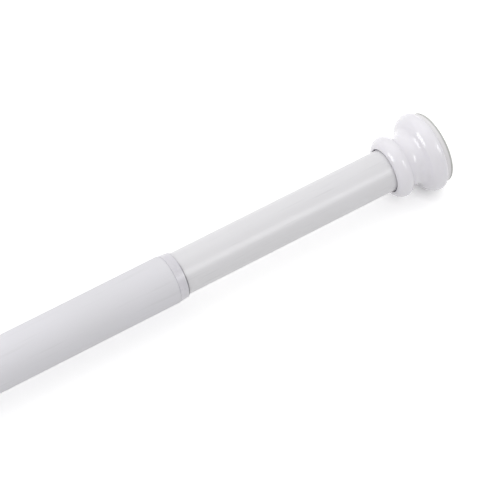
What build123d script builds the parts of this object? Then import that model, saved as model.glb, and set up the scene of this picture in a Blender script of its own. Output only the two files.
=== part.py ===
# Extendable tension rod for a shower curtain.
#
# Two painted steel tubes slide one in the other. A plastic collar guides the thin tube at the
# mouth of the wide one, and a moulded end cap with a rubber pad closes each far end. Inside,
# an eccentric brake on a screw spindle grips the wide tube when the thin tube is twisted, and
# more twisting drives the thin tube out against the walls, with a coil spring to give.
#
# Millimetres. +X runs along the rod from the wide tube's wall face, where the origin lies, to
# the thin tube's wall face. +Z is up. The rod is drawn pulled out to the length shown.

import os
from math import atan2, cos, hypot, pi, sin, sqrt

from build123d import *

# Tubes
outer_tube_od = 25.0
outer_tube_wall = 0.8
outer_tube_length = 1050.0
inner_tube_od = 22.0
inner_tube_wall = 0.8
inner_tube_length = 1010.0
tube_edge_chamfer = 0.25      # at the wide tube's end, beside the collar
shown_length = 120.6          # bare thin tube between the collar's mouth and the cap

# Outline of the end cap, as distances from the wall and radii about the rod
bell_crest_at = 5.5
bell_crest_radius = 20.85
bell_round = 6.5
cove_round = 5.6
bead_crest_at = 23.75
bead_back_round = 3.7
bead_front_round = 5.0
bead_height = 5.2             # bead crest above the tube's own surface
mouth_gap = 0.84              # between the tube and the cap's flared mouth
mouth_depth = 3.0

# Inside of the end cap
socket_depth = 17.9
web_thickness = 3.0
recess_radius = 17.4
rib_height = 1.8
rib_thickness = 1.5
rib_count = 6
boss_radius = 5.5
boss_height = 1.0

# Wall pad and the grip disc glued on it
pad_radius = 18.6
pad_thickness = 2.5
pad_edge_round = 0.4
pad_ring_height = 2.5
pad_ring_wall = 1.6
grip_thickness = 0.8
grip_edge_round = 0.25
grip_groove_count = 4
grip_groove_depth = 0.4
grip_groove_width = 1.2

# Plug and screw that hold each cap on its tube
plug_length = 14.0
plug_disc = 2.0
plug_hub_radius = 4.2
plug_fin_thickness = 1.6
plug_fin_count = 6
cap_screw_radius = 1.9
cap_screw_length = 15.0
screw_head_radius = 3.6
screw_head_height = 2.2
screw_point = 2.0
cross_slot_width = 0.9
cross_slot_length = 4.2
cross_slot_depth = 1.2

# Guide collar in the wide tube's mouth
collar_flange_length = 5.4
collar_mouth_wall = 0.73
collar_mouth_round = 0.35
collar_lead_in = 0.3          # bore opened at the mouth
collar_lead_length = 0.8
collar_step = 0.15            # flange below the wide tube's surface
collar_edge_chamfer = 0.3
collar_spigot_length = 18.0
collar_slot_width = 1.2
collar_slot_length = 13.0
collar_slot_count = 3

# Screw drive
lead = 6.0
drive_turns = 5
thread_crest = 6.0
thread_root = 4.9
thread_crest_width = 1.8
thread_root_width = 3.4
thread_sink = 0.4             # ridge let into the core it stands on
thread_run_out = 3.0          # plain core before and behind the ridge
spindle_shoulder = 3.0
nut_across_flats = 15.0
nut_hex_length = 33.5
nut_flange_radius = 9.6
nut_flange_length = 3.0
washer_thickness = 1.5
clip_thickness = 1.1
clip_radius = 7.2
clip_gap = 6.0
clip_groove_radius = 3.9
spindle_tail = 3.0

# Keyed sleeve and glide ring at the inner end of the thin tube
sleeve_length = 40.0
sleeve_flange_length = 2.0
sleeve_flange_radius = 10.9
glide_length = 5.0
glide_chamfer = 0.6
crimp_depth = 0.5
crimp_width = 3.0
crimp_slope = 0.8

# Tension spring and its stop
spring_wire = 1.8
spring_turns = 7
spring_length = 60.0
spring_give = 8.0
stop_length = 12.0
stop_spigot = 6.0
stop_wall = 2.4

# Eccentric brake
eccentricity = 0.9
eccentric_radius = 7.5
brake_length = 22.0
brake_turn = 58.0
core_flange_length = 5.0
disc_thickness = 2.5
shoe_radius = 10.75
shoe_mouth = 3.0
shoe_groove_count = 2
shoe_groove_depth = 0.5
shoe_groove_width = 1.6
liner_depth = 1.5
liner_length = 14.0
liner_angle = 70.0
journal_radius = 4.5
core_pin_radius = 1.25
core_pin_length = 20.0
brake_screw_radius = 1.7
brake_screw_length = 14.0

# Clearances
press_gap = 0.03              # pushed or clamped together
fit_gap = 0.05                # fixed piece in its seat, and faces that turn on each other
slide_gap = 0.1               # pieces that slide or turn on one another
thread_gap = 0.2              # screw in its nut
collar_gap = 0.12             # thin tube in the collar
end_play = 0.2                # shoe between its flanges
loose_gap = 0.3               # spring and washer in the thin tube
stop_gap = 1.5                # left between pieces at the end of a travel

# Radii that follow from the sizes above
outer_r = outer_tube_od / 2
outer_bore = outer_r - outer_tube_wall
inner_r = inner_tube_od / 2
inner_bore = inner_r - inner_tube_wall
guide_r = outer_bore - slide_gap
sleeve_r = inner_bore - press_gap
spring_mean = inner_bore - loose_gap - spring_wire / 2
hex_corner = nut_across_flats / sqrt(3)

# Places along the rod, from the wide tube's wall face
pad_end = grip_thickness + pad_thickness
rim_round = bell_crest_at - pad_end
front_centre_drop = bead_height - bead_front_round - mouth_gap
cap_length = bead_crest_at + sqrt(bead_front_round ** 2 - front_centre_drop ** 2)
tube_start = cap_length - socket_depth
web_face = tube_start - web_thickness
boss_face = web_face - boss_height
outer_tube_end = tube_start + outer_tube_length
collar_mouth = outer_tube_end + collar_flange_length
total_length = collar_mouth + shown_length + cap_length
inner_tube_end = total_length - tube_start
inner_tube_start = inner_tube_end - inner_tube_length
sleeve_start = inner_tube_start - glide_length - sleeve_flange_length
sleeve_end = inner_tube_start + sleeve_length
sleeve_crimp = inner_tube_start + sleeve_length / 2
washer_start = sleeve_end + fit_gap
nut_flange_start = washer_start + washer_thickness + fit_gap
nut_start = nut_flange_start - nut_hex_length
nut_end = nut_flange_start + nut_flange_length
clip_start = nut_end + lead * drive_turns + stop_gap
spindle_end = clip_start + clip_thickness + spindle_tail
core_start = sleeve_start - spring_give - stop_gap
thread_start = core_start + spindle_shoulder + thread_run_out
thread_end = clip_start - thread_run_out
brake_end = core_start - core_flange_length
brake_start = brake_end - brake_length
disc_start = brake_start - disc_thickness
stop_start = nut_end + spring_length
stop_crimp = stop_start + stop_length / 2


def lathe(*corners):
    """Solid turned about the rod's axis from (place along it, radius) corners."""
    return revolve(make_face(Polyline(*corners, close=True)), axis=Axis.X)


def rod(start, end, radius):
    """Round bar on the rod's axis."""
    return lathe((start, 0), (end, 0), (end, radius), (start, radius))


def ring(start, end, radius, bore):
    """Round tube on the rod's axis."""
    return lathe((start, bore), (end, bore), (end, radius), (start, radius))


def hexagon(start, end, across_flats):
    """Hexagonal bar on the rod's axis."""
    outline = RegularPolygon(across_flats / 2, 6, major_radius=False)
    return extrude(Plane.YZ.offset(start) * outline, end - start)


def block(start, end, width, height):
    """Box along the rod that reaches from the axis up to a height."""
    return Pos((start + end) / 2, 0, height / 2) * Box(end - start, width, height)


def around(count, shape):
    """Copies of a shape, evenly spaced about the rod's axis."""
    return [Rot(360 * i / count, 0, 0) * shape for i in range(count)]


def on_circle(centre, radius, angle):
    """Point of a circle at an angle in radians."""
    return (centre[0] + radius * cos(angle), centre[1] + radius * sin(angle))


def arc(centre, radius, start, end):
    """Arc of a circle between two angles in radians."""
    angles = (start, (start + end) / 2, end)
    return ThreePointArc(*[on_circle(centre, radius, angle) for angle in angles])


def direction(start, end):
    """Angle of the line from one point to another."""
    return atan2(end[1] - start[1], end[0] - start[0])


def touching_circle(first, first_radius, second, second_radius, radius):
    """Centre of a circle that touches two others from outside, on the side away from the axis."""
    gap = hypot(second[0] - first[0], second[1] - first[1])
    to_first = first_radius + radius
    to_second = second_radius + radius
    along = (to_first ** 2 - to_second ** 2 + gap ** 2) / (2 * gap)
    across = sqrt(to_first ** 2 - along ** 2)
    ux = (second[0] - first[0]) / gap
    uy = (second[1] - first[1]) / gap
    return (first[0] + along * ux - across * uy, first[1] + along * uy + across * ux)


def crimp(at, radius):
    """Corners of a groove rolled into a surface of the given radius."""
    half = crimp_width / 2
    bottom = radius - crimp_depth
    return [(at - half, radius), (at - half + crimp_slope, bottom),
            (at + half - crimp_slope, bottom), (at + half, radius)]


def at_far_end(shape):
    """Shape made for the wide tube's end, turned round to the thin tube's end."""
    return Pos(total_length, 0, 0) * Rot(0, 0, 180) * shape


def cap_outside(tube_r):
    """Filled outside form of an end cap: rim, bell, cove and bead, the bead grown with the tube."""
    rim = (bell_crest_at, bell_crest_radius - rim_round)
    bell = (bell_crest_at, bell_crest_radius - bell_round)
    crest = tube_r + bead_height
    back = (bead_crest_at, crest - bead_back_round)
    front = (bead_crest_at, crest - bead_front_round)
    cove = touching_circle(bell, bell_round, back, bead_back_round, cove_round)
    mouth = (cap_length, tube_r + mouth_gap)
    return revolve(make_face([
        Line((pad_end, 0), (pad_end, rim[1])),
        arc(rim, rim_round, pi, pi / 2),
        arc(bell, bell_round, pi / 2, direction(bell, cove)),
        arc(cove, cove_round, direction(cove, bell), direction(cove, back)),
        arc(back, bead_back_round, direction(back, cove), pi / 2),
        arc(front, bead_front_round, pi / 2, direction(front, mouth)),
        Line(mouth, (cap_length, 0)),
        Line((cap_length, 0), (pad_end, 0)),
    ]), axis=Axis.X)


def end_cap(tube_r):
    """Moulded cap: flared socket for the tube, web for the screw, ribbed recess for the pad."""
    socket_r = tube_r + press_gap
    mouth_r = tube_r + mouth_gap
    mouth_start = cap_length - mouth_depth
    socket = lathe((tube_start, 0), (tube_start, socket_r), (mouth_start, socket_r),
                   (mouth_start + mouth_gap, mouth_r), (cap_length, mouth_r), (cap_length, 0))
    rib_start = web_face - rib_height
    rib = block(rib_start, web_face, rib_thickness, recess_radius + fit_gap)
    rib -= rod(rib_start, web_face, boss_radius)
    recess = rod(pad_end, web_face, recess_radius)
    recess = recess - around(rib_count, rib) - rod(boss_face, web_face, boss_radius)
    screw_hole = rod(boss_face, tube_start, cap_screw_radius + slide_gap)
    return cap_outside(tube_r) - socket - recess - screw_hole


def wall_pad():
    """Rubber disc between the cap and the wall, with a snap ring for the cap's recess."""
    disc = rod(grip_thickness, pad_end, pad_radius)
    disc = fillet(disc.edges().filter_by(GeomType.CIRCLE), pad_edge_round)
    snap_r = recess_radius - press_gap
    return disc + ring(pad_end, pad_end + pad_ring_height, snap_r, snap_r - pad_ring_wall)


def grip_disc():
    """Thin soft disc on the pad's wall side, with round grooves that hold on tile."""
    disc = rod(0, grip_thickness, pad_radius)
    wall_edge = disc.edges().filter_by(GeomType.CIRCLE).group_by(Axis.X)[0]
    disc = fillet(wall_edge, grip_edge_round)
    pitch = pad_radius / (grip_groove_count + 1)
    for i in range(grip_groove_count):
        middle = pitch * (i + 1)
        disc -= ring(0, grip_groove_depth, middle + grip_groove_width / 2,
                     middle - grip_groove_width / 2)
    return disc


def cap_plug(bore):
    """Moulded plug pushed in a tube's end: disc, hub and fins, bored for the cap screw."""
    plug_r = bore - fit_gap
    end = tube_start + plug_length
    fin = block(tube_start, end, plug_fin_thickness, bore)
    body = rod(tube_start, end, plug_hub_radius) + around(plug_fin_count, fin)
    body = body & rod(tube_start, end, plug_r)
    body += rod(tube_start, tube_start + plug_disc, plug_r)
    return body - rod(tube_start, end, cap_screw_radius + press_gap)


def pan_screw(seat, radius, length):
    """Cross-slotted pan-head screw, its head on the -X side of its seat."""
    head = rod(seat - screw_head_height, seat, screw_head_radius)
    top = head.edges().filter_by(GeomType.CIRCLE).group_by(Axis.X)[0]
    head = fillet(top, screw_head_height / 2)
    top_face = seat - screw_head_height
    for slot in (Box(2 * cross_slot_depth, cross_slot_width, cross_slot_length),
                 Box(2 * cross_slot_depth, cross_slot_length, cross_slot_width)):
        head -= Pos(top_face, 0, 0) * slot
    tip = seat + length
    shank = lathe((seat, 0), (seat, radius), (tip - screw_point, radius), (tip, 0))
    return head + shank


def outer_tube():
    """Wide tube, its edge broken at the collar's end."""
    return lathe((tube_start, outer_bore), (outer_tube_end, outer_bore),
                 (outer_tube_end, outer_r - tube_edge_chamfer),
                 (outer_tube_end - tube_edge_chamfer, outer_r), (tube_start, outer_r))


def inner_tube():
    """Thin tube with two grooves rolled in it, for the sleeve and for the spring stop."""
    outside = crimp(sleeve_crimp, inner_r) + crimp(stop_crimp, inner_r)
    inside = crimp(sleeve_crimp, inner_bore) + crimp(stop_crimp, inner_bore)
    return lathe((inner_tube_start, inner_r), *outside, (inner_tube_end, inner_r),
                 (inner_tube_end, inner_bore), *reversed(inside), (inner_tube_start, inner_bore))


def mouth_collar():
    """Guide collar: tapered flange outside the wide tube, slotted spigot inside it."""
    bore = inner_r + collar_gap
    flange_r = outer_r - collar_step
    flange = lathe((outer_tube_end, bore), (collar_mouth - collar_lead_length, bore),
                   (collar_mouth, bore + collar_lead_in), (collar_mouth, bore + collar_mouth_wall),
                   (outer_tube_end + collar_edge_chamfer, flange_r),
                   (outer_tube_end, flange_r - collar_edge_chamfer))
    mouth_edges = flange.edges().filter_by(GeomType.CIRCLE).group_by(Axis.X)[-1]
    flange = fillet(mouth_edges.sort_by(SortBy.RADIUS)[-1], collar_mouth_round)
    spigot_start = outer_tube_end - collar_spigot_length
    spigot = ring(spigot_start, outer_tube_end, outer_bore - fit_gap, bore)
    slot = block(spigot_start, spigot_start + collar_slot_length, collar_slot_width, outer_bore)
    return flange + (spigot - around(collar_slot_count, slot))


def keyed_sleeve():
    """Sleeve crimped in the thin tube, with a six-sided bore that turns the nut."""
    neck = sleeve_start + sleeve_flange_length
    body = lathe((sleeve_start, 0), (sleeve_start, sleeve_flange_radius), (neck, sleeve_flange_radius),
                 (neck, sleeve_r), *crimp(sleeve_crimp, sleeve_r), (sleeve_end, sleeve_r), (sleeve_end, 0))
    return body - hexagon(sleeve_start, sleeve_end, nut_across_flats + 2 * slide_gap)


def glide_ring():
    """Ring on the sleeve's neck that rubs in the wide tube."""
    start = sleeve_start + sleeve_flange_length
    return lathe((start, inner_bore), (start, guide_r - glide_chamfer), (start + glide_chamfer, guide_r),
                 (inner_tube_start - glide_chamfer, guide_r), (inner_tube_start, guide_r - glide_chamfer),
                 (inner_tube_start, inner_bore))


def thrust_washer():
    """Washer between the sleeve's end and the nut's flange."""
    return ring(washer_start, washer_start + washer_thickness, inner_bore - loose_gap,
                hex_corner + slide_gap)


def threaded_bar(start, end, ridge_start, ridge_end, gap):
    """Right-hand screw, or with a gap all round the form that it leaves in its nut."""
    core = thread_root + gap
    path = Helix(lead, ridge_end - ridge_start, core, center=(ridge_start, 0, 0), direction=(1, 0, 0))
    height = thread_crest - thread_root
    slope = (thread_root_width - thread_crest_width) / 2 / height
    foot = thread_root_width / 2 + slope * thread_sink + gap
    top = thread_crest_width / 2 + gap
    outline = Polyline((-foot, -thread_sink), (foot, -thread_sink), (top, height), (-top, height),
                       close=True)
    begin = path @ 0
    section = Plane(begin, x_dir=(1, 0, 0), z_dir=(0, -begin.Z, begin.Y)) * make_face(outline)
    return rod(start, end, core) + sweep(section, path=path, is_frenet=True)


def drive_nut():
    """Long six-sided nut, threaded inside, with a round flange that the spring presses on."""
    body = hexagon(nut_start, nut_flange_start, nut_across_flats)
    body += rod(nut_flange_start, nut_end, nut_flange_radius)
    turns_before = int((nut_start - thread_start) / lead)
    ridge_start = thread_start + lead * (turns_before - 1)
    ridge_end = nut_end + lead
    return body - threaded_bar(ridge_start - lead, ridge_end + lead, ridge_start, ridge_end, thread_gap)


def screw_spindle():
    """Coarse screw with a plain journal in the brake core and a clip groove near its free end."""
    groove_end = clip_start + clip_thickness + fit_gap
    body = threaded_bar(core_start, spindle_end, thread_start, thread_end, 0)
    body -= ring(clip_start - fit_gap, groove_end, thread_crest, clip_groove_radius)
    body += rod(core_start, core_start + spindle_shoulder, thread_crest)
    body += rod(brake_start, core_start, journal_radius)
    body -= rod(brake_start, brake_start + brake_screw_length, brake_screw_radius + press_gap)
    return body - core_pin_bar(fit_gap)


def spindle_clip():
    """Open ring in the spindle's groove that keeps the nut on."""
    clip_end = clip_start + clip_thickness
    clip = ring(clip_start, clip_end, clip_radius, clip_groove_radius + fit_gap)
    return clip - block(clip_start, clip_end, clip_gap, clip_radius + fit_gap)


def core_pin_bar(gap):
    """Cross pin through the core's flange, or with a gap the hole for it."""
    middle = core_start - core_flange_length / 2
    return Pos(middle, 0, 0) * Rot(90, 0, 0) * Cylinder(core_pin_radius + gap, core_pin_length + 4 * gap)


def brake_core():
    """Flange that runs in the wide tube, with the eccentric that carries the shoe."""
    body = rod(brake_end, core_start, guide_r)
    body += Pos(0, 0, eccentricity) * rod(brake_start, brake_end, eccentric_radius)
    body -= rod(brake_start, core_start, journal_radius + fit_gap)
    return body - core_pin_bar(fit_gap)


def brake_disc():
    """End disc that keeps the shoe on the eccentric."""
    return ring(disc_start, brake_start, guide_r, brake_screw_radius + slide_gap)


def liner_segment():
    """Piece of ring on the side of the shoe that meets the tube when the brake has turned."""
    middle = (brake_start + brake_end) / 2
    half = liner_length / 2
    low = shoe_radius - liner_depth
    outline = make_face(Polyline((middle - half, low), (middle + half, low),
                                 (middle + half, shoe_radius), (middle - half, shoe_radius), close=True))
    segment = revolve(outline, axis=Axis.X, revolution_arc=liner_angle)
    return Rot(-(brake_turn + liner_angle) / 2, 0, 0) * segment


def brake_shoe():
    """Open ring on the eccentric, round about the rod's axis at rest."""
    start = brake_start + end_play
    end = brake_end - end_play
    shoe = rod(start, end, shoe_radius)
    shoe -= Pos(0, 0, eccentricity) * rod(start, end, eccentric_radius + fit_gap)
    opposite_liner = 90 - brake_turn / 2
    shoe -= Rot(opposite_liner, 0, 0) * block(start, end, shoe_mouth, shoe_radius + fit_gap)
    edge = (brake_length - liner_length) / 4
    for middle in (brake_start + edge, brake_end - edge)[:shoe_groove_count]:
        shoe -= ring(middle - shoe_groove_width / 2, middle + shoe_groove_width / 2,
                     shoe_radius + fit_gap, shoe_radius - shoe_groove_depth)
    return shoe - liner_segment()


def tension_spring():
    """Coil spring between the nut's flange and the spring stop."""
    height = spring_length - spring_wire
    path = Helix(height / spring_turns, height, spring_mean,
                 center=(nut_end + spring_wire / 2, 0, 0), direction=(1, 0, 0))
    section = Plane(origin=path @ 0, z_dir=path % 0) * Circle(spring_wire / 2)
    return sweep(section, path=path, is_frenet=True)


def spring_stop():
    """Bush crimped in the thin tube, with a spigot that centres the spring."""
    spigot_r = spring_mean - spring_wire / 2 - loose_gap
    stop_end = stop_start + stop_length
    return lathe((stop_start - stop_spigot, spigot_r - stop_wall), (stop_start - stop_spigot, spigot_r),
                 (stop_start, spigot_r), (stop_start, sleeve_r), *crimp(stop_crimp, sleeve_r),
                 (stop_end, sleeve_r), (stop_end, spigot_r - stop_wall))


def rod_pieces():
    """Every piece by name, each where it lies in the rod."""
    cap_screw = pan_screw(boss_face, cap_screw_radius, cap_screw_length)
    return {
        "outer_tube": outer_tube(),
        "mouth_collar": mouth_collar(),
        "outer_cap": end_cap(outer_r),
        "outer_cap_plug": cap_plug(outer_bore),
        "outer_cap_screw": cap_screw,
        "outer_wall_pad": wall_pad(),
        "outer_grip_disc": grip_disc(),
        "screw_spindle": screw_spindle(),
        "spindle_clip": spindle_clip(),
        "brake_core": brake_core(),
        "core_pin": core_pin_bar(0),
        "brake_disc": brake_disc(),
        "brake_screw": pan_screw(disc_start, brake_screw_radius, brake_screw_length),
        "brake_shoe": brake_shoe(),
        "shoe_liner": liner_segment(),
        "thrust_washer": thrust_washer(),
        "drive_nut": drive_nut(),
        "inner_tube": inner_tube(),
        "keyed_sleeve": keyed_sleeve(),
        "glide_ring": glide_ring(),
        "tension_spring": tension_spring(),
        "spring_stop": spring_stop(),
        "inner_cap": at_far_end(end_cap(inner_r)),
        "inner_cap_plug": at_far_end(cap_plug(inner_bore)),
        "inner_cap_screw": at_far_end(cap_screw),
        "inner_wall_pad": at_far_end(wall_pad()),
        "inner_grip_disc": at_far_end(grip_disc()),
    }


os.makedirs("parts", exist_ok=True)
for name, shape in rod_pieces().items():
    export_step(shape, f"parts/{name}.step")
    print(f"{name}: volume {shape.volume:.1f}, valid {shape.is_valid}")
print(f"total length {total_length:.2f}, thin tube starts at {inner_tube_start:.2f}")
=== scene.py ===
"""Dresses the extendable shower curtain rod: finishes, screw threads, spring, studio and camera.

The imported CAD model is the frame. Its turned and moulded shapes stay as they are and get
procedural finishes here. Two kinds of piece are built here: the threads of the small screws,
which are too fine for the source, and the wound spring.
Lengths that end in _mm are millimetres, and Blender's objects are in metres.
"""

from __future__ import annotations

import logging
import math
from dataclasses import dataclass
from enum import Enum

import bmesh
import bpy
from mathutils import Matrix, Vector

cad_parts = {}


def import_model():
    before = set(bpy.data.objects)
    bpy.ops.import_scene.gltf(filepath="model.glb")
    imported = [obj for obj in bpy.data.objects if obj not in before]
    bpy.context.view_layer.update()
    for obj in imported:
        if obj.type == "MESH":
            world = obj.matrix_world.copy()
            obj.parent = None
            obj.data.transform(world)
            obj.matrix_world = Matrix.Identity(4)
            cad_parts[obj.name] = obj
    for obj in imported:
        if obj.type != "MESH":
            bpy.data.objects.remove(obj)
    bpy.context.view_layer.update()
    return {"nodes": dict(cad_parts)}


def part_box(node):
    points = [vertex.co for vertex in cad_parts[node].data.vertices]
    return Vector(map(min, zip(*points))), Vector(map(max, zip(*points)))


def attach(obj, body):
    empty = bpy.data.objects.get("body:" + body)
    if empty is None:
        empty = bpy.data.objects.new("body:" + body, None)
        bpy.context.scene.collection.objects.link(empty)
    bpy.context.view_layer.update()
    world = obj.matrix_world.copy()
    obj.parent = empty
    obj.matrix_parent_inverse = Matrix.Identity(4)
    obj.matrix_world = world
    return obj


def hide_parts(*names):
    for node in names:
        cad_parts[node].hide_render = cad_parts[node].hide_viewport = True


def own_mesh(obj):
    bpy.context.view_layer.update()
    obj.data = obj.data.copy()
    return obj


log = logging.getLogger("curtain_rod")
MM = 0.001
WHITE = (1.0, 1.0, 1.0, 1.0)
ORIGIN = Vector((0, 0, 0))

# A noise texture keeps mostly to this part of its range from 0 to 1.
NOISE_LOW = 0.3
NOISE_HIGH = 0.7

# Sockets of a Mix node, which shares one name among its kinds of value.
SHARE = 0
FLOAT_FROM, FLOAT_TO = 2, 3
COLOUR_FROM, COLOUR_TO, MIXED_COLOUR = 6, 7, 2


def linear(hex_colour: str) -> tuple[float, float, float, float]:
    """Turns an sRGB hex colour to the linear values that a shader reads.

    Args:
        hex_colour: Colour as "#RRGGBB".

    Returns:
        Red, green, blue and an alpha of 1.
    """
    channels = [int(hex_colour[i:i + 2], 16) / 255 for i in (1, 3, 5)]
    values = [c / 12.92 if c <= 0.04045 else ((c + 0.055) / 1.055) ** 2.4 for c in channels]
    return (*values, 1.0)


def add_node(
    tree: bpy.types.NodeTree,
    kind: str,
    settings: dict | None = None,
    values: dict | None = None,
    links: dict | None = None,
) -> bpy.types.Node:
    """Adds one node to a tree.

    Args:
        tree: Node tree that takes the node.
        kind: The node's class name in Blender.
        settings: Properties to set on the node.
        values: Constants for its inputs, by input name or number.
        links: Output sockets that feed its inputs, by input name or number.

    Returns:
        The new node.
    """
    node = tree.nodes.new(kind)
    for name, value in (settings or {}).items():
        setattr(node, name, value)
    for name, value in (values or {}).items():
        node.inputs[name].default_value = value
    for name, socket in (links or {}).items():
        tree.links.new(socket, node.inputs[name])
    return node


class Direction(Enum):
    """Which way the marks of a process run, as a stretch along the rod's own axis."""

    EVERY_WAY = (1.0, 1.0, 1.0)
    ALONG_ROD = (0.03, 1.0, 1.0)
    ROUND_ROD = (1.0, 0.12, 0.12)


@dataclass(frozen=True)
class Relief:
    """One layer of surface relief: how wide its waves are, how deep, and which way they run."""

    width_mm: float
    depth_mm: float
    run: Direction = Direction.EVERY_WAY
    detail: float = 2.0

    def noise(self, tree: bpy.types.NodeTree, place: bpy.types.NodeSocket) -> bpy.types.NodeSocket:
        """Adds the noise of this layer.

        Args:
            tree: The material's node tree.
            place: Socket that gives the object coordinates in metres.

        Returns:
            Socket with the noise, from 0 to 1.
        """
        stretched = add_node(tree, "ShaderNodeMapping", values={"Scale": self.run.value},
                             links={"Vector": place})
        noise = add_node(tree, "ShaderNodeTexNoise",
                         values={"Scale": 1 / (self.width_mm * MM), "Detail": self.detail},
                         links={"Vector": stretched.outputs["Vector"]})
        return noise.outputs["Fac"]


@dataclass(frozen=True)
class PaintedRimShade:
    """Painted shade that greys a piece's rim: where along the rod it starts and where it is full.
    """

    start_mm: float
    full_mm: float
    colour: str
    front_mm: float = 9.0
    back_share: float = 0.2

    def cover(self, tree: bpy.types.NodeTree, place: bpy.types.NodeSocket,
              colour: bpy.types.NodeSocket) -> bpy.types.NodeSocket:
        """Paints shade on the rim, darkest where it is front_mm or more to the front of the rod's
        axis.

        Args:
            tree: The material's node tree.
            place: Socket with the object coordinates.
            colour: Socket with the colour so far.

        Returns:
            Socket with the colour after the painted shade.
        """
        along = add_node(tree, "ShaderNodeSeparateXYZ", links={"Vector": place})
        edge = add_node(tree, "ShaderNodeMapRange",
                        values={"From Min": self.start_mm * MM, "From Max": self.full_mm * MM},
                        links={"Value": along.outputs["X"]}).outputs["Result"]
        front = add_node(tree, "ShaderNodeMapRange",
                         values={"From Min": 0.0, "From Max": -self.front_mm * MM,
                                 "To Min": self.back_share},
                         links={"Value": along.outputs["Y"]}).outputs["Result"]
        share = add_node(tree, "ShaderNodeMath", {"operation": "MULTIPLY"},
                         links={0: edge, 1: front})
        # Painted shade: mixes the rim's dark grey into the colour.
        film = add_node(tree, "ShaderNodeMix", {"data_type": "RGBA"},
                        values={COLOUR_TO: linear(self.colour)},
                        links={SHARE: share.outputs[0], COLOUR_FROM: colour})
        return film.outputs[MIXED_COLOUR]


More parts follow.
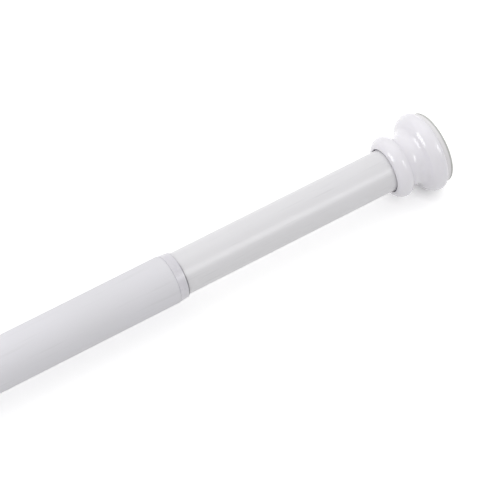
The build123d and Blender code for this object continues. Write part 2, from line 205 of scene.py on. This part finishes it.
@dataclass(frozen=True)
class Finish:
    """A material and how its surface was made. Most fields are constants of its shader.

    The colour drifts to shade in clouds of cloud_mm, and the roughness swings about its mean
    in patches of patch_mm. Wear marks cover half the finish at most, and dull it.
    """

    name: str
    colour: str
    shade: str
    roughness: float
    roughness_swing: float
    reliefs: tuple[Relief, ...]
    cloud_mm: float = 45.0
    patch_mm: float = 9.0
    metallic: float = 0.0
    ior: float = 1.5
    coat: float = 0.0
    coat_roughness: float = 0.1
    subsurface: float = 0.0
    scatter_mm: float = 1.0
    scatter_tint: tuple[float, float, float] = (1.0, 1.0, 1.1)
    wear: Relief | None = None
    wear_colour: str = "#FFFFFF"
    wear_start: float = 0.6
    wear_full: float = 0.72
    wear_cover: float = 0.5
    wear_dulling: float = 0.16
    # Painted shade line along a rim, if the finish has one.
    painted_rim_shade: PaintedRimShade | None = None

    def material(self) -> bpy.types.Material:
        """Builds the material.

        Returns:
            The material, ready for a slot.
        """
        material = bpy.data.materials.new(self.name)
        material.use_nodes = True
        tree = material.node_tree
        shader = tree.nodes["Principled BSDF"]
        for socket, value in {
            "Metallic": self.metallic,
            "IOR": self.ior,
            "Coat Weight": self.coat,
            "Coat Roughness": self.coat_roughness,
            "Subsurface Weight": self.subsurface,
            "Subsurface Radius": self.scatter_tint,
            "Subsurface Scale": self.scatter_mm * MM,
        }.items():
            shader.inputs[socket].default_value = value
        place = add_node(tree, "ShaderNodeTexCoord").outputs["Object"]
        colour = self.cloudy_colour(tree, place)
        rough = self.uneven_roughness(tree, place)
        if self.wear:
            colour, rough = self.worn(tree, place, colour, rough)
        # Paints the shade line along the rim where the finish has one.
        if self.painted_rim_shade:
            colour = self.painted_rim_shade.cover(tree, place, colour)
        tree.links.new(colour, shader.inputs["Base Color"])
        tree.links.new(rough, shader.inputs["Roughness"])
        tree.links.new(self.relief_normal(tree, place), shader.inputs["Normal"])
        return material

    def cloudy_colour(self, tree: bpy.types.NodeTree,
                      place: bpy.types.NodeSocket) -> bpy.types.NodeSocket:
        """Colour that drifts a little over the piece, as pigment and film thickness do.

        Args:
            tree: The material's node tree.
            place: Socket with the object coordinates.

        Returns:
            Socket with the colour.
        """
        cloud = Relief(self.cloud_mm, 0.0, detail=3.0).noise(tree, place)
        spread = add_node(tree, "ShaderNodeMapRange",
                          values={"From Min": NOISE_LOW, "From Max": NOISE_HIGH},
                          links={"Value": cloud})
        mix = add_node(tree, "ShaderNodeMix", {"data_type": "RGBA"},
                       values={COLOUR_FROM: linear(self.colour), COLOUR_TO: linear(self.shade)},
                       links={SHARE: spread.outputs["Result"]})
        return mix.outputs[MIXED_COLOUR]

    def uneven_roughness(self, tree: bpy.types.NodeTree,
                         place: bpy.types.NodeSocket) -> bpy.types.NodeSocket:
        """Roughness that varies in patches, as handling and the process leave it.

        Args:
            tree: The material's node tree.
            place: Socket with the object coordinates.

        Returns:
            Socket with the roughness.
        """
        patches = Relief(self.patch_mm, 0.0, detail=4.0).noise(tree, place)
        rough = add_node(tree, "ShaderNodeMapRange",
                         values={"From Min": NOISE_LOW, "From Max": NOISE_HIGH,
                                 "To Min": self.roughness - self.roughness_swing,
                                 "To Max": self.roughness + self.roughness_swing},
                         links={"Value": patches})
        return rough.outputs["Result"]

    def worn(self, tree: bpy.types.NodeTree, place: bpy.types.NodeSocket,
             colour: bpy.types.NodeSocket,
             rough: bpy.types.NodeSocket) -> tuple[bpy.types.NodeSocket, bpy.types.NodeSocket]:
        """Fine rub marks: a little duller and a shade off in colour.

        Args:
            tree: The material's node tree.
            place: Socket with the object coordinates.
            colour: Socket with the colour so far.
            rough: Socket with the roughness so far.

        Returns:
            Sockets with the colour and the roughness after wear.
        """
        marks = add_node(tree, "ShaderNodeMapRange",
                         values={"From Min": self.wear_start, "From Max": self.wear_full,
                                 "To Max": self.wear_cover},
                         links={"Value": self.wear.noise(tree, place)}).outputs["Result"]
        tinted = add_node(tree, "ShaderNodeMix", {"data_type": "RGBA"},
                          values={COLOUR_TO: linear(self.wear_colour)},
                          links={SHARE: marks, COLOUR_FROM: colour})
        duller = add_node(tree, "ShaderNodeMath", {"operation": "MULTIPLY_ADD"},
                          values={1: self.wear_dulling}, links={0: marks, 2: rough})
        return tinted.outputs[MIXED_COLOUR], duller.outputs[0]

    def relief_normal(self, tree: bpy.types.NodeTree,
                      place: bpy.types.NodeSocket) -> bpy.types.NodeSocket:
        """Chains one bump node for each layer of relief.

        Args:
            tree: The material's node tree.
            place: Socket with the object coordinates.

        Returns:
            Socket with the normal.
        """
        normal = None
        for relief in self.reliefs:
            links = {"Height": relief.noise(tree, place)}
            if normal:
                links["Normal"] = normal
            bump = add_node(tree, "ShaderNodeBump",
                            values={"Strength": 1.0, "Distance": relief.depth_mm * MM},
                            links=links)
            normal = bump.outputs["Normal"]
        return normal


# Polyester powder coat on steel tube, sprayed and baked: low gloss over a shallow orange peel,
# with faint rub marks along the rod, so that a light shows only as a broad sheen.
POWDER_COAT = Finish(
    name="polyester_powder_coat", colour="#E2E1E6", shade="#DEDDE1",
    roughness=0.62, roughness_swing=0.03,
    reliefs=(Relief(2.2, 0.010), Relief(0.5, 0.0015)), cloud_mm=90.0, ior=1.45,
    wear=Relief(1.4, 0.0, Direction.ALONG_ROD, 4.0), wear_colour="#D6D5D8")

# Stoved enamel on drawn steel tube: half gloss with a thin shiny skin, long faint draw lines
# under the film and fine rub marks from the collar, so that a light shows as a soft streak.
STOVED_ENAMEL = Finish(
    name="stoved_enamel", colour="#E2E1E4", shade="#DFDEE0",
    roughness=0.38, roughness_swing=0.03,
    reliefs=(Relief(3.0, 0.004, Direction.ALONG_ROD), Relief(1.2, 0.0006)),
    cloud_mm=70.0, ior=1.52, coat=0.1, coat_roughness=0.12,
    wear=Relief(0.8, 0.0, Direction.ALONG_ROD, 5.0), wear_colour="#D2D1D4")

# Gloss ABS from a polished mould: small clear highlights, a touch of light inside the plastic,
# and sink and flow waves too shallow to see except in a highlight's edge.
GLOSS_ABS = Finish(
    name="gloss_abs", colour="#EFEDF2", shade="#ECEAEF",
    roughness=0.13, roughness_swing=0.012,
    reliefs=(Relief(9.0, 0.002), Relief(0.9, 0.0004)), cloud_mm=30.0, ior=1.46,
    subsurface=0.15, scatter_mm=1.5)

# Natural polypropylene, moulded: milky and faintly see-through, so it looks greyer and softer
# than paint and its edges glow a little. A line of painted shade greys its outer rim, most on the
# front.
MILKY_POLYPROPYLENE = Finish(
    name="milky_polypropylene", colour="#DDDBE1", shade="#D8D6DC",
    roughness=0.3, roughness_swing=0.05,
    reliefs=(Relief(1.6, 0.004, Direction.ROUND_ROD), Relief(0.4, 0.001)),
    cloud_mm=8.0, ior=1.49, subsurface=0.3, scatter_mm=1.5,
    painted_rim_shade=PaintedRimShade(start_mm=1065.45, full_mm=1065.85, colour="#5E5C62"))

# Thermoplastic rubber, moulded and matt: pale white with a fine skin grain.
SOFT_RUBBER = Finish(
    name="thermoplastic_rubber", colour="#EBE9EB", shade="#E7E5E6",
    roughness=0.62, roughness_swing=0.05,
    reliefs=(Relief(0.35, 0.006), Relief(3.0, 0.010)), cloud_mm=12.0, ior=1.51)

# Closed-cell foam rubber, cut from sheet and glued on: greenish grey, matt, with tiny pores.
FOAM_RUBBER = Finish(
    name="foam_rubber", colour="#CFD0CD", shade="#C4C6C1",
    roughness=0.85, roughness_swing=0.04,
    reliefs=(Relief(0.18, 0.012), Relief(1.5, 0.010)), cloud_mm=5.0, ior=1.45)

# Nylon, moulded in its natural colour: dull, slightly waxy, with ivory flow marks.
NATURAL_NYLON = Finish(
    name="natural_nylon", colour="#D8D5CA", shade="#CFCBBE",
    roughness=0.45, roughness_swing=0.06,
    reliefs=(Relief(0.6, 0.004), Relief(5.0, 0.010)), cloud_mm=15.0, ior=1.53,
    subsurface=0.15, scatter_mm=1.0)

# Acetal, moulded: whiter and slicker than nylon, for the pieces that rub on steel.
WHITE_ACETAL = Finish(
    name="white_acetal", colour="#E4E3DD", shade="#DAD9D2",
    roughness=0.32, roughness_swing=0.05,
    reliefs=(Relief(0.8, 0.003),), cloud_mm=14.0, ior=1.48,
    wear=Relief(0.6, 0.0, Direction.ROUND_ROD, 4.0), wear_colour="#BFBFBC")

# Nitrile rubber, cured in a mould: near black and matt, its skin dusty where it has rubbed.
NITRILE_RUBBER = Finish(
    name="nitrile_rubber", colour="#232323", shade="#2C2B2A",
    roughness=0.78, roughness_swing=0.06,
    reliefs=(Relief(0.3, 0.010), Relief(1.8, 0.012)), cloud_mm=6.0, ior=1.52,
    wear=Relief(1.2, 0.0, Direction.ROUND_ROD, 4.0), wear_colour="#4A4947")

# Zinc plating on steel screws: pale and bright, with cloudy passivation and turning lines.
ZINC_PLATE = Finish(
    name="bright_zinc_plate", colour="#C9CBCC", shade="#BFC3C6",
    roughness=0.3, roughness_swing=0.06,
    reliefs=(Relief(0.25, 0.002, Direction.ROUND_ROD),), cloud_mm=3.0, metallic=1.0)

# Spring steel, drawn and oiled: dark grey, with die lines and a film of oil that glints.
OILED_STEEL = Finish(
    name="oiled_spring_steel", colour="#8A8986", shade="#6F6E6C",
    roughness=0.34, roughness_swing=0.08,
    reliefs=(Relief(0.3, 0.003, Direction.ROUND_ROD),), cloud_mm=5.0, metallic=1.0,
    coat=0.3, coat_roughness=0.15,
    wear=Relief(0.9, 0.0), wear_colour="#5A5550")


class Wardrobe:
    """Makes each finish's material once and puts it on pieces."""

    def __init__(self, nodes: dict[str, bpy.types.Object]) -> None:
        """Keeps the frame's CAD nodes, by name."""
        self.nodes = nodes
        self.made: dict[str, bpy.types.Material] = {}

    def material(self, finish: Finish) -> bpy.types.Material:
        """Gives the material of a finish, made at its first use.

        Args:
            finish: The finish.

        Returns:
            Its material.
        """
        if finish.name not in self.made:
            self.made[finish.name] = finish.material()
        return self.made[finish.name]

    def dress(self, finish: Finish, *names: str) -> None:
        """Puts a finish on CAD nodes.

        Args:
            finish: The finish.
            names: The nodes' names.
        """
        for name in names:
            mesh = self.nodes[name].data
            mesh.materials.clear()
            mesh.materials.append(self.material(finish))
            log.info("%s: %s", name, finish.name)


def finished_piece(name: str, mesh_data: bmesh.types.BMesh, material: bpy.types.Material,
                   body: str) -> bpy.types.Object:
    """Turns a bmesh to an object that rides on a body of the frame.

    Args:
        name: The piece's name.
        mesh_data: The finished shape, in metres, in the frame. It is freed.
        material: Its material.
        body: The CAD body it rides on.

    Returns:
        The new object.
    """
    mesh = bpy.data.meshes.new(name)
    mesh_data.to_mesh(mesh)
    mesh_data.free()
    mesh.materials.append(material)
    piece = bpy.data.objects.new(name, mesh)
    bpy.context.scene.collection.objects.link(piece)
    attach(piece, body)
    log.info("%s: %d faces", name, len(mesh.polygons))
    return piece


@dataclass(frozen=True)
class ScrewThread:
    """Thread ridge of one self-tapping screw, wound on its shank.

    The ridge's foot is sunk into the shank by sink_mm and its half width there is root_share
    of the pitch. The screw's tip lies towards +X (1) or -X (-1) from start_mm.
    """

    name: str
    body: str
    start_mm: float
    length_mm: float
    shank_mm: float
    pitch_mm: float
    height_mm: float
    towards: int
    sink_mm: float = 0.08
    root_share: float = 0.28
    crest_half_mm: float = 0.04
    steps_per_turn: int = 20

    def build(self, wardrobe: Wardrobe) -> None:
        """Winds the ridge with a spin that also moves along the rod.

        Args:
            wardrobe: Gives the material.
        """
        shape = bmesh.new()
        low = self.shank_mm - self.sink_mm
        high = self.shank_mm + self.height_mm
        half = self.pitch_mm * self.root_share
        crest = self.crest_half_mm
        corners = [(-half, low), (half, low), (crest, high), (-crest, high)]
        ring = [shape.verts.new((x * MM, 0, z * MM)) for x, z in corners]
        profile = shape.faces.new(ring)
        bmesh.ops.translate(shape, verts=ring, vec=Vector((self.start_mm * MM, 0, 0)))
        turns = self.length_mm / self.pitch_mm
        steps = int(turns * self.steps_per_turn)
        travel = self.towards * self.length_mm * MM / steps
        bmesh.ops.spin(shape, geom=[profile, *profile.edges, *profile.verts], cent=ORIGIN,
                       axis=Vector((self.towards, 0, 0)), dvec=Vector((travel, 0, 0)),
                       angle=2 * math.pi * turns, steps=steps,
                       use_merge=False, use_duplicate=False)
        bmesh.ops.holes_fill(shape, edges=shape.edges, sides=len(corners))
        bmesh.ops.recalc_face_normals(shape, faces=shape.faces)
        finished_piece(self.name, shape, wardrobe.material(ZINC_PLATE), self.body)


@dataclass(frozen=True)
class CoilSpring:
    """Compression spring with closed ends, between the nut's flange and the spring stop."""

    name: str = "tension_spring_coil"
    start_mm: float = 239.329
    end_mm: float = 299.289
    anchor_mm: float = 299.309
    mean_radius_mm: float = 9.0
    wire_radius_mm: float = 0.9
    closed_pitch_mm: float = 1.85
    active_turns: int = 5
    give_mm: float = 8.0
    wire_sides: int = 12
    steps_per_turn: int = 24

    def build(self, wardrobe: Wardrobe) -> None:
        """Winds the wire: one closed turn, the active turns, one closed turn.

        Args:
            wardrobe: Gives the material.
        """
        shape = bmesh.new()
        first = self.start_mm + self.wire_radius_mm
        rise = self.end_mm - self.wire_radius_mm - first - 2 * self.closed_pitch_mm
        bmesh.ops.create_circle(shape, segments=self.wire_sides, radius=self.wire_radius_mm * MM)
        bmesh.ops.rotate(shape, verts=shape.verts, cent=ORIGIN,
                         matrix=Matrix.Rotation(math.pi / 2, 3, "X"))
        bmesh.ops.translate(shape, verts=shape.verts,
                            vec=Vector((first * MM, 0, self.mean_radius_mm * MM)))
        wire = [*shape.verts, *shape.edges]
        for turns, travel in ((1, self.closed_pitch_mm), (self.active_turns, rise),
                              (1, self.closed_pitch_mm)):
            steps = self.steps_per_turn * turns
            wire = bmesh.ops.spin(
                shape, geom=wire, cent=ORIGIN, axis=Vector((1, 0, 0)),
                dvec=Vector((travel * MM / steps, 0, 0)), angle=2 * math.pi * turns,
                steps=steps, use_merge=False, use_duplicate=False)["geom_last"]
        bmesh.ops.holes_fill(shape, edges=shape.edges, sides=0)
        bmesh.ops.recalc_face_normals(shape, faces=shape.faces)
        for face in shape.faces:
            face.smooth = len(face.verts) == 4
        coil = finished_piece(self.name, shape, wardrobe.material(OILED_STEEL), "inner_half")
        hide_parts("tension_spring")
        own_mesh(coil)


@dataclass
class OuterHalf:
    """Wide tube with its collar, cap, plug, screw and wall pad."""

    tube_finish: Finish = POWDER_COAT
    collar_finish: Finish = MILKY_POLYPROPYLENE
    cap_finish: Finish = GLOSS_ABS
    pad_finish: Finish = SOFT_RUBBER
    screw_thread: ScrewThread = ScrewThread(
        name="outer_cap_screw_thread", body="outer_half", start_mm=11.3, length_mm=8.2,
        shank_mm=1.9, pitch_mm=1.6, height_mm=0.35, towards=1)

    def dress(self, wardrobe: Wardrobe) -> None:
        """Puts the finishes on this half's CAD nodes and winds its screw's thread.

        Args:
            wardrobe: Gives the materials.
        """
        wardrobe.dress(self.tube_finish, "outer_tube")
        wardrobe.dress(self.collar_finish, "mouth_collar")
        wardrobe.dress(self.cap_finish, "outer_cap")
        wardrobe.dress(self.pad_finish, "outer_wall_pad")
        wardrobe.dress(FOAM_RUBBER, "outer_grip_disc")
        wardrobe.dress(NATURAL_NYLON, "outer_cap_plug")
        wardrobe.dress(ZINC_PLATE, "outer_cap_screw")
        self.screw_thread.build(wardrobe)


@dataclass
class TwistLock:
    """Screw drive and eccentric brake inside the tubes."""

    screw_thread: ScrewThread = ScrewThread(
        name="brake_screw_thread", body="lock", start_mm=151.7, length_mm=8.7,
        shank_mm=1.7, pitch_mm=1.4, height_mm=0.3, towards=1)

    def dress(self, wardrobe: Wardrobe) -> None:
        """Puts the finishes on the lock's CAD nodes and winds its screw's thread.

        Args:
            wardrobe: Gives the materials.
        """
        wardrobe.dress(NATURAL_NYLON, "screw_spindle", "brake_core", "brake_disc", "drive_nut")
        wardrobe.dress(WHITE_ACETAL, "brake_shoe")
        wardrobe.dress(NITRILE_RUBBER, "shoe_liner")
        wardrobe.dress(OILED_STEEL, "spindle_clip", "core_pin", "thrust_washer")
        wardrobe.dress(ZINC_PLATE, "brake_screw")
        self.screw_thread.build(wardrobe)


@dataclass
class InnerHalf:
    """Thin tube with its sleeve, glide ring, spring, stop, cap, plug, screw and wall pad."""

    tube_finish: Finish = STOVED_ENAMEL
    cap_finish: Finish = GLOSS_ABS
    pad_finish: Finish = SOFT_RUBBER
    screw_thread: ScrewThread = ScrewThread(
        name="inner_cap_screw_thread", body="inner_half", start_mm=1204.218, length_mm=8.2,
        shank_mm=1.9, pitch_mm=1.6, height_mm=0.35, towards=-1)
    spring: CoilSpring = CoilSpring()

    def dress(self, wardrobe: Wardrobe) -> None:
        """Puts the finishes on this half's CAD nodes, and winds its screw's thread and spring.

        Args:
            wardrobe: Gives the materials.
        """
        wardrobe.dress(self.tube_finish, "inner_tube")
        wardrobe.dress(self.cap_finish, "inner_cap")
        wardrobe.dress(self.pad_finish, "inner_wall_pad")
        wardrobe.dress(FOAM_RUBBER, "inner_grip_disc")
        wardrobe.dress(NATURAL_NYLON, "keyed_sleeve", "spring_stop", "inner_cap_plug")
        wardrobe.dress(WHITE_ACETAL, "glide_ring")
        wardrobe.dress(ZINC_PLATE, "inner_cap_screw")
        self.screw_thread.build(wardrobe)
        self.spring.build(wardrobe)


@dataclass(frozen=True)
class Softbox:
    """A rectangular soft light that faces a point of the rod.

    It hangs distance_m away in the direction towards, turned by roll_deg about its own beam.
    A gloss_only light shows in reflections but doesn't light matt surfaces.
    """

    name: str
    towards: tuple[float, float, float]
    distance_m: float
    size_m: tuple[float, float]
    watts: float
    roll_deg: float = 0.0
    gloss_only: bool = False
    aim_m: tuple[float, float, float] = (1.15, 0.0, 0.0)

    def hang(self) -> None:
        """Adds the light."""
        data = bpy.data.lights.new(self.name, "AREA")
        data.shape = "RECTANGLE"
        data.size, data.size_y = self.size_m
        data.energy = self.watts
        light = bpy.data.objects.new(self.name, data)
        bpy.context.scene.collection.objects.link(light)
        out = Vector(self.towards).normalized()
        light.location = Vector(self.aim_m) + out * self.distance_m
        roll = Matrix.Rotation(math.radians(self.roll_deg), 3, "Z")
        light.rotation_euler = (out.to_track_quat("Z", "Y").to_matrix() @ roll).to_euler()
        light.visible_diffuse = not self.gloss_only


@dataclass
class Studio:
    """White sweep, soft lights and the camera at the photograph's angle.

    The fill light goes from fill_low below the horizon to fill_high overhead, and the floor's
    own glow fades within contact_shadow_m of whatever stands on it.
    """

    floor_z_m: float
    floor_size_m: float = 8.0
    floor_centre_m: float = 0.6
    floor_bounce: str = "#E6E6E6"
    floor_glow: float = 0.32
    contact_shadow_m: float = 0.0065
    fill_low: float = 0.53
    fill_high: float = 0.97
    aim_m: tuple[float, float, float] = (1.0988, -0.00501, 0.01056)
    view: tuple[float, float, float] = (0.3203, 0.5092, -0.7986)
    distance_m: float = 1.2555
    lens_mm: float = 195.0
    sensor_mm: float = 36.0
    clip_end_m: float = 50.0
    lights: tuple[Softbox, ...] = (
        Softbox(name="front_softbox", towards=(0.3, -0.66, 0.69), distance_m=1.6,
                size_m=(0.5, 0.8), watts=6.5, roll_deg=15.0, gloss_only=True),
        Softbox(name="left_softbox", towards=(-0.94, 0.26, 0.23), distance_m=1.6,
                size_m=(0.75, 0.75), watts=11.5, gloss_only=True),
        Softbox(name="top_softbox", towards=(-0.3, 0.55, 0.78), distance_m=2.2,
                size_m=(2.6, 2.6), watts=14.0),
    )

    def seen_directly(self, tree: bpy.types.NodeTree) -> bpy.types.NodeSocket:
        """Adds the switch that shows the white backdrop to the eye and to gloss and glass.

        Args:
            tree: Node tree of the world or of the floor.

        Returns:
            Socket that is 1 for such rays.
        """
        path = add_node(tree, "ShaderNodeLightPath")
        first = add_node(tree, "ShaderNodeMath", {"operation": "MAXIMUM"},
                         links={0: path.outputs["Is Camera Ray"],
                                1: path.outputs["Is Glossy Ray"]})
        both = add_node(tree, "ShaderNodeMath", {"operation": "MAXIMUM"},
                        links={0: first.outputs[0], 1: path.outputs["Is Transmission Ray"]})
        return both.outputs[0]

    def light_world(self) -> None:
        """Makes the world white to look at, and a fill light that is strongest from above."""
        world = bpy.data.worlds.new("white_sweep")
        bpy.context.scene.world = world
        world.use_nodes = True
        tree = world.node_tree
        towards = add_node(tree, "ShaderNodeTexCoord").outputs["Generated"]
        height = add_node(tree, "ShaderNodeSeparateXYZ", links={"Vector": towards}).outputs["Z"]
        fill = add_node(tree, "ShaderNodeMapRange",
                        values={"To Min": self.fill_low, "To Max": self.fill_high},
                        links={"Value": height}).outputs["Result"]
        strength = add_node(tree, "ShaderNodeMix", {"data_type": "FLOAT"},
                            values={FLOAT_TO: 1.0},
                            links={SHARE: self.seen_directly(tree), FLOAT_FROM: fill})
        background = tree.nodes["Background"]
        background.inputs["Color"].default_value = WHITE
        tree.links.new(strength.outputs[0], background.inputs["Strength"])

    def lay_floor(self) -> None:
        """Lays a plain pale floor that keeps the object's shadow."""
        shape = bmesh.new()
        bmesh.ops.create_grid(shape, x_segments=1, y_segments=1, size=self.floor_size_m / 2)
        bmesh.ops.translate(shape, verts=shape.verts,
                            vec=Vector((self.floor_centre_m, 0, self.floor_z_m)))
        mesh = bpy.data.meshes.new("floor")
        shape.to_mesh(mesh)
        shape.free()
        floor = bpy.data.objects.new("floor", mesh)
        bpy.context.scene.collection.objects.link(floor)
        mesh.materials.append(self.floor_paper())

    def floor_paper(self) -> bpy.types.Material:
        """White background paper: near white to look at, plain and pale as a bounce surface.

        Returns:
            The material.
        """
        material = bpy.data.materials.new("background_paper")
        material.use_nodes = True
        tree = material.node_tree
        tree.nodes.remove(tree.nodes["Principled BSDF"])
        plain = add_node(tree, "ShaderNodeBsdfDiffuse",
                         values={"Color": linear(self.floor_bounce)})
        shade = add_node(tree, "ShaderNodeBsdfDiffuse", values={"Color": WHITE})
        open_sky = add_node(tree, "ShaderNodeAmbientOcclusion",
                            values={"Distance": self.contact_shadow_m}).outputs["AO"]
        strength = add_node(tree, "ShaderNodeMath", {"operation": "MULTIPLY"},
                            values={1: self.floor_glow}, links={0: open_sky}).outputs[0]
        glow = add_node(tree, "ShaderNodeEmission", values={"Color": WHITE},
                        links={"Strength": strength})
        seen = add_node(tree, "ShaderNodeAddShader",
                        links={0: shade.outputs["BSDF"], 1: glow.outputs["Emission"]})
        chosen = add_node(tree, "ShaderNodeMixShader",
                          links={0: self.seen_directly(tree), 1: plain.outputs["BSDF"],
                                 2: seen.outputs["Shader"]})
        tree.links.new(chosen.outputs["Shader"], tree.nodes["Material Output"].inputs["Surface"])
        return material

    def set_camera(self) -> None:
        """Puts the camera where the photograph was taken from, without roll."""
        data = bpy.data.cameras.new("camera")
        data.lens = self.lens_mm
        data.sensor_width = self.sensor_mm
        data.clip_end = self.clip_end_m
        camera = bpy.data.objects.new("camera", data)
        bpy.context.scene.collection.objects.link(camera)
        ahead = Vector(self.view).normalized()
        turn = ahead.to_track_quat("-Z", "Y").to_matrix().to_4x4()
        place = Vector(self.aim_m) - ahead * self.distance_m
        camera.matrix_world = Matrix.Translation(place) @ turn
        bpy.context.scene.camera = camera

    def build(self) -> None:
        """Builds the whole studio."""
        bpy.context.scene.view_settings.view_transform = "Standard"
        self.light_world()
        self.lay_floor()
        for light in self.lights:
            light.hang()
        self.set_camera()
        log.info("studio: %d lights", len(self.lights))


def main() -> None:
    """Builds the dressed rod and its studio in order."""
    logging.basicConfig(level=logging.INFO, format="%(name)s: %(message)s")
    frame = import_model()
    wardrobe = Wardrobe(frame["nodes"])
    OuterHalf().dress(wardrobe)
    TwistLock().dress(wardrobe)
    InnerHalf().dress(wardrobe)
    Studio(floor_z_m=min(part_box("inner_cap")[0].z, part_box("outer_cap")[0].z)).build()


if __name__ == "__main__":
    main()
